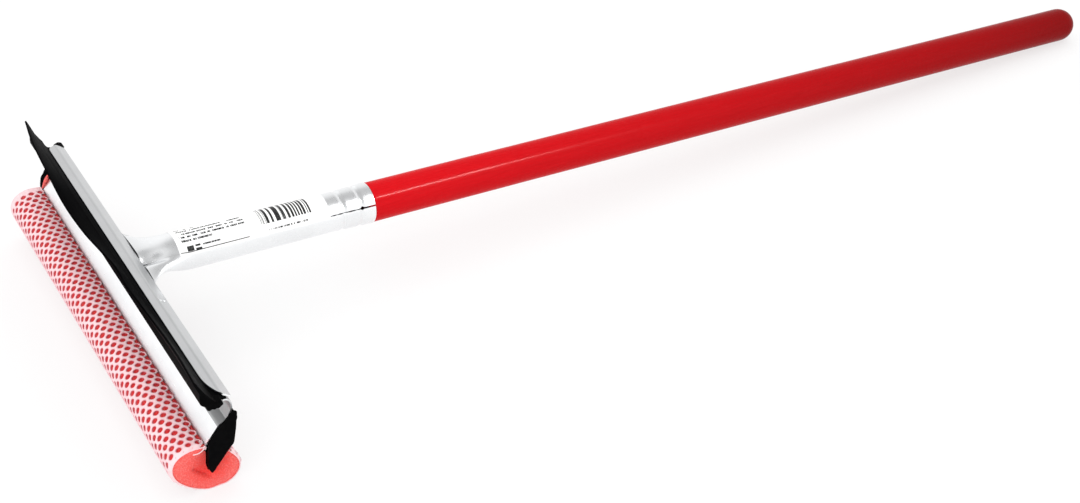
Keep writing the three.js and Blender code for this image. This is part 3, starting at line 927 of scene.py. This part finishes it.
def sponge():
    """Foam wrapped round the core bar: its section is a thick C, so its ends show a fold."""
    steps, layers = 180, 26
    inner = resample(rounded(FOAM_INSIDE, 0.5, 4), steps + 1)
    low, high = SPONGE_ENDS
    fine = [low + ROUND_OVER * (1 - cos(radians(t))) for t in range(0, 91, 18)]
    fine_far = [high - (y - low) for y in reversed(fine)]
    start, end = fine[-1], fine_far[0]
    places = fine[:-1] + stretches(start, 0.8, start + 5, 3, end - 5, 0.8, end) + fine_far[1:]
    # the C's outline at each place: out along the skin, back along the inside
    skin = []
    for y in places:
        outline = []
        for i in range(steps + 1):
            degrees = FRONT_ANGLE + (BACK_ANGLE - FRONT_ANGLE) * i / steps
            outline.append(roll_point(degrees, FOAM_INSET + end_pull(y) - end_flare(y, degrees)))
        skin.append([head(x, y, z) for x, z in outline + inner[::-1]])
    size = len(skin[0])
    points, faces = loft(skin, caps=False)
    # the cut ends, from the inside out in thin layers, so that they can dent
    for end, ring, side in ((low, 0, -1), (high, len(skin) - 1, 1)):
        rows = [[ring * size + size - 1 - i for i in range(steps + 1)]]
        rim = skin[ring][:steps + 1]
        for k in range(1, layers):
            row = []
            for i in range(steps + 1):
                spot = head(inner[i][0], end, inner[i][1]).lerp(rim[i], k / layers)
                x, z = (spot.x - ROLL_X) / MM, spot.z / MM
                spot.y += side * end_bulge(x, z, k / layers, side) * MM
                points.append(spot)
                row.append(len(points) - 1)
            rows.append(row)
        rows.append([ring * size + i for i in range(steps + 1)])
        for below, above in zip(rows, rows[1:]):
            for i in range(steps):
                quad = (below[i], below[i + 1], above[i + 1], above[i])
                faces.append(quad if side > 0 else quad[::-1])
        for column in (0, steps):
            fan = tuple(row[column] for row in rows)
            faces.append(fan[::-1] if (column == 0) == (side > 0) else fan)
    piece = add_piece("sponge_roll", (points, faces), [FOAM], "red_foam", ["sponge"], sharp=70)


FOAM_TONGUE = [(0.9, 24.6), (2.6, 25.6), (4.3, 28.0), (5.2, 30.8), (4.8, 32.0), (3.5, 30.2), (2.1, 27.6)]


def foam_tongue():
    """A scrap of foam squeezed up between the plate and the core, at the head's far end."""
    outline = rounded(FOAM_TONGUE, 0.8, 3, closed=True)
    middle = Vector((2.8, 28.6))
    rings = []
    for past, size in ((0.15, 0.7), (0.35, 0.92), (0.8, 1.0), (1.4, 0.95), (1.8, 0.75), (1.95, 0.4)):
        ring = [middle.lerp(Vector(p), size) for p in outline]
        rings.append([head(p.x, HEAD_END + past + 0.15 * wobble(p.x, past, p.y, 1.5, 15), p.y)
                      for p in ring])
    piece = add_piece("foam_tongue", loft(rings), [FOAM], "red_foam", sharp=60)


# ---- netting ----

NET_COLUMN = 2.03  # between columns of holes, round the roll
NET_ROW = 6.2  # between holes of one column, along the roll
HOLE_ACROSS, HOLE_ALONG = 1.15, 1.24  # half sizes of a hole
NET_CREST, NET_BASE = 0.62, 0.06  # the thread's upper side and its underside, over the foam
THREAD_R = 0.23  # of the net's loose ends
NET_ENDS = (SPONGE_ENDS[0] + 0.2, SPONGE_ENDS[1] - 1.0)
# rows of the hem beyond each of these: how far, and how high. The far hem turns in round the foam's edge
HEM_NEAR = [(0.3, 0.50), (0.65, 0.34)]
HEM_FAR = [(0.1, 0.54), (0.45, 0.54), (0.75, 0.52), (0.93, 0.50), (1.03, 0.46), (1.4, 0.30)]


def roll_map():
    """Turns millimetres round the skin, along the head and over the foam into points of the roll."""
    degrees = np.linspace(FRONT_ANGLE, BACK_ANGLE, 900)
    line = np.array([roll_point(d, FOAM_INSET) for d in degrees])
    along = np.gradient(line, axis=0)
    along /= np.linalg.norm(along, axis=1)[:, None]
    out = np.stack([along[:, 1], -along[:, 0]], axis=1)
    run = np.concatenate([[0], np.cumsum(np.linalg.norm(np.diff(line, axis=0), axis=1))])

    def place(s, y, height):
        columns = (line[:, 0], line[:, 1], out[:, 0], out[:, 1], degrees)
        x, z, nx, nz, turn = (np.interp(s, run, v) for v in columns)
        lift = height - np.array([end_pull(a) - end_flare(a, d) for a, d in zip(y, turn)])
        return x + nx * lift, np.maximum(z + nz * lift, 0.02)

    return place, float(run[-1])


def hexagon():
    """The border of one hole's cell: six corners, and the points half way between them."""
    half, row = NET_COLUMN, NET_ROW / 2
    reach = (half ** 2 + row ** 2) / 2 / row
    side = ((half ** 2 + row ** 2) / 2 - half * half) / row
    corners = [(half, -side), (half, side), (0, reach), (-half, side), (-half, -side), (0, -reach)]
    border = []
    for a, b in zip(corners, corners[1:] + corners[:1]):
        border += [(*a, True), ((a[0] + b[0]) / 2, (a[1] + b[1]) / 2, False)]
    return border, reach


def netting():
    """The knitted net: one closed web with a staggered lattice of rounded holes."""
    place, length = roll_map()
    spots, faces, lookup = [], [], {}  # a spot: round the skin, along the head, height, web colour

    def add(s, y, height, web, key=None):
        if key is None or key not in lookup:
            spots.append((min(max(s, 0.0), length), y, height, web))
            if key is None:
                return len(spots) - 1
            lookup[key] = len(spots) - 1
        return lookup[key]

    border, reach = hexagon()
    count = len(border)
    columns = int(length // NET_COLUMN)
    start = (length - (columns - 1) * NET_COLUMN) / 2
    for c in range(columns):
        s0 = start + c * NET_COLUMN
        y0 = NET_ENDS[0] + reach + (NET_ROW / 2 if c % 2 else 0)
        while y0 + reach < NET_ENDS[1]:
            jitter = (0.10 * wobble(s0, y0, 0, 3, 11), 0.14 * wobble(s0, y0, 5, 3, 12))
            size = 1 + 0.13 * wobble(s0, y0, 0, 2.5, 13)
            rings = [[], [], []]
            for bx, by, knot in border:
                key = (round((s0 + bx) * 50), round((y0 + by) * 50))
                rings[0].append(add(s0 + bx, y0 + by, NET_CREST * (0.72 if knot else 0.86), 1.0, key))
                angle = atan2(by / HOLE_ALONG, bx / HOLE_ACROSS)
                hx = HOLE_ACROSS * size * cos(angle)
                hy = HOLE_ALONG * size * sin(angle)
                for ring, (share, height, web) in zip(rings[1:], ((0.42, 1.0, 0.75), (0.0, 0.55, 0.0))):
                    x, y = hx + (bx - hx) * share, hy + (by - hy) * share
                    ring.append(add(s0 + x + jitter[0], y0 + y + jitter[1], NET_CREST * height, web))
            for outer, inner in zip(rings, rings[1:]):
                for i in range(count):
                    k = (i + 1) % count
                    faces.append((outer[i], outer[k], inner[k], inner[i]))
            y0 += NET_ROW
    add_hems(spots, faces, set(lookup.values()), length)
    top = len(spots)
    edges = open_sides(faces)
    faces += [tuple(i + top for i in reversed(face)) for face in faces]
    faces += [(b, a, a + top, b + top) for a, b in edges]
    s, y, height, web = (np.array(v) for v in zip(*spots))
    placed = []
    for level in (height, np.full(top, NET_BASE)):
        x, z = place(s, y, level)
        placed += [head(*v) for v in zip(x.tolist(), y.tolist(), z.tolist())]
    piece = add_piece("sponge_net", (placed, faces), [NET], "net_thread", ["netting"], sharp=80)
    add_web(piece, np.concatenate([web, web]).astype(np.float32))


def open_sides(faces):
    """The sides that only one face has."""
    sides = {(a, b) for face in faces for a, b in zip(face, face[1:] + face[:1])}
    return sorted((a, b) for a, b in sides if (b, a) not in sides)


def add_hems(spots, faces, rim_spots, length):
    """Closes the zigzag that the last holes leave at each end of the net with a plain edge."""
    follow = {a: b for a, b in open_sides(faces) if a in rim_spots and b in rim_spots}
    first = min(follow)
    loop = [first]
    while follow[loop[-1]] != first:
        loop.append(follow[loop[-1]])
    zigzag = 0.8 * NET_ROW
    for end, way, hem in ((NET_ENDS[0], -1, HEM_NEAR), (NET_ENDS[1], 1, HEM_FAR)):
        near = [abs(spots[i][1] - end) < zigzag for i in loop]
        begin = next(k for k in range(len(loop)) if near[k] and not near[k - 1])
        chain = []
        while near[begin % len(loop)]:
            chain.append(loop[begin % len(loop)])
            begin += 1
        s_first, s_last = (0.0, length) if spots[chain[0]][0] < spots[chain[-1]][0] else (length, 0.0)
        steps = [abs(spots[b][0] - spots[a][0]) + 0.12 * abs(spots[b][1] - spots[a][1])
                 for a, b in zip(chain, chain[1:])]
        parts = [sum(steps[:k]) / sum(steps) for k in range(len(chain))]
        below = chain
        for beyond, height in hem:
            row = []
            for part in parts:
                spots.append((s_first + (s_last - s_first) * part, end + way * beyond, height, 0.9))
                row.append(len(spots) - 1)
            for k in range(len(chain) - 1):
                faces.append((below[k + 1], below[k], row[k], row[k + 1]))
            below = row


def punch_marks():
    """Two dots punched into the spine, each a shallow dish with a raised rim."""
    top, back = Vector(JAW_LINE[2]), Vector(JAW_LINE[3])
    along = (back - top).normalized()
    up = Vector((-along.y, along.x))
    profile = [(0.02, 0.02), (0.28, 0.03), (0.42, 0.13), (0.58, 0.13), (0.72, -0.05)]
    sides = 20
    for name, share, y in (("punch_mark_front", 0.12, -34.5), ("punch_mark_back", 0.55, -34.0)):
        middle = top.lerp(back, share) + up * (SHEET / 2)
        rings = []
        for radius, height in profile:
            ring = []
            for k in range(sides):
                a = 2 * pi * k / sides
                p = middle + along * (radius * cos(a)) + up * height
                ring.append(head(p.x, y + radius * sin(a), p.y))
            rings.append(ring)
        add_piece(name, loft(rings), [ZINC_EDGE], "zinc_sheet")


def thread_ends():
    """Loose ends of the net's thread at the corner between the foam, the plate and the core."""
    paths = {
        "thread_end_long": [
            (1.2, -101.9, 24.4), (-0.8, -102.6, 23.2), (-2.6, -102.4, 22.4), (-4.6, -102.2, 22.6)],
        "thread_end_loop": [
            (0.2, -101.9, 24.4), (-0.4, -103.0, 25.4), (0.5, -103.6, 26.3), (1.0, -103.2, 25.0),
            (0.3, -102.8, 24.0), (0.9, -102.3, 23.2)],
        "thread_end_short": [
            (1.9, -102.0, 26.2), (1.0, -102.9, 27.4), (1.7, -103.6, 28.6), (2.3, -103.2, 29.2)],
    }
    for name, knots in paths.items():
        line = [Vector(p) for p in resample(rounded(knots, 1.2, 5), 26)]
        rings = []
        for k, spot in enumerate(line):
            ahead = (line[min(k + 1, len(line) - 1)] - line[max(k - 1, 0)]).normalized()
            side = ahead.cross(Vector((0, 0, 1))).normalized()
            over = side.cross(ahead)
            radius = THREAD_R * (1 + 0.25 * wobble(k, 0, 0, 2.0, 14))
            turns = (pi / 4 * j for j in range(8))
            rings.append([head(*(spot + (side * cos(a) + over * sin(a)) * radius)) for a in turns])
        piece = add_piece(name, loft(rings), [NET], "net_thread")
        add_web(piece, [1.0] * len(piece.data.vertices))


# ---- making ----

wooden_handle()
socket()
paper_label()
top_jaw()
sponge_plate()
rubber_blade()
core_bar()
sponge()
foam_tongue()
netting()
punch_marks()
thread_ends()


# ---- studio ----

DARK_WALL = (0.74, 0.67, 0.06)  # the way to the darker wall: what the spine of the head mirrors
CEILING = [(0.0, 1.0), (0.34, 0.95), (0.60, 0.80), (0.74, 0.56), (0.87, 0.45), (1.0, 0.45)]  # by height
WORLD_STRENGTH = 1.25
FLOOR_HALF = 6.0  # metres


def studio():
    """A pale floor, and pale walls under a greyer ceiling, one of them darker to shade the metal."""
    floor = bpy.data.meshes.new("floor")
    corners = ((-1, -1), (1, -1), (1, 1), (-1, 1))
    floor.from_pydata([(x * FLOOR_HALF, y * FLOOR_HALF, 0) for x, y in corners], [], [(0, 1, 2, 3)])
    floor.materials.append(Shader("pale_floor").set(
        Base_Color=(0.25, 0.25, 0.25), Roughness=0.9, Specular_IOR_Level=0.0,
        Emission_Color=(1, 1, 1), Emission_Strength=0.69,
    ))
    add_object("floor", floor)

    world = bpy.data.worlds.new("studio")
    bpy.context.scene.world = world
    s = Nodes(world)
    way = s.node("TexCoord").outputs["Generated"]
    height = s.ramp(s.axis(way, "Z"), CEILING)
    wall = s.node("VectorMath", {0: way, 1: DARK_WALL}, operation="DOT_PRODUCT")
    side = s.ramp(wall.outputs["Value"], [(0.55, 1.0), (0.93, 0.82)])
    background = s.tree.nodes["Background"].inputs
    s.feed(background["Strength"], WORLD_STRENGTH)
    s.feed(background["Color"], s.mix(1.0, height, side, blend="MULTIPLY"))

    # a big soft light above, a small one in front, and one that only the gloss shows, as a streak
    area_light("top", (0.0, 0.2, 1.6), (0, 0, 0), (2.6, 2.2), 22)
    area_light("front", (-1.0, -1.0, 0.9), (-0.1, 0, 0), (1.2, 1.0), 7)
    area_light("streak", (0.31, -0.56, 0.74), (-0.10, 0, 0.04), (0.30, 0.07), 6, shiny=True)
    bpy.context.scene.view_settings.view_transform = "Standard"


def area_light(name, place, aim, size, power, shiny=False):
    """A rectangular light in metres and watts. A shiny one is seen only in reflections."""
    light = bpy.data.lights.new(name, "AREA")
    light.shape = "RECTANGLE"
    light.size, light.size_y = size
    light.energy = power
    lamp = add_object(name, light)
    lamp.location = place
    lamp.rotation_euler = (Vector(aim) - Vector(place)).to_track_quat("-Z", "Y").to_euler()
    lamp.visible_glossy = shiny
    lamp.visible_diffuse = not shiny


CAMERA_PLACE = (-150.875, -581.690, 501.021)  # in the head frame
CAMERA_TURN = (32.73, 37.38, 2.25)  # degrees to the right of +Y, down, and about its own axis
LENS, SENSOR = 55.87, 36


def camera():
    """Looks at the object from over the near end of the head."""
    data = bpy.data.cameras.new("camera")
    data.sensor_width = SENSOR
    data.lens = LENS
    lens = add_object("camera", data)
    yaw, pitch, roll = (radians(v) for v in CAMERA_TURN)
    ahead = Vector((sin(yaw) * cos(pitch), cos(yaw) * cos(pitch), -sin(pitch)))
    right = Vector((cos(yaw), -sin(yaw), 0))
    up = right.cross(ahead)
    c, s = cos(roll), sin(roll)
    right, up = right * c + up * s, up * c - right * s
    turn = Matrix((right, up, -ahead)).transposed()
    lens.matrix_world = Matrix.Translation(head(*CAMERA_PLACE)) @ turn.to_4x4()
    bpy.context.scene.camera = lens


studio()
camera()
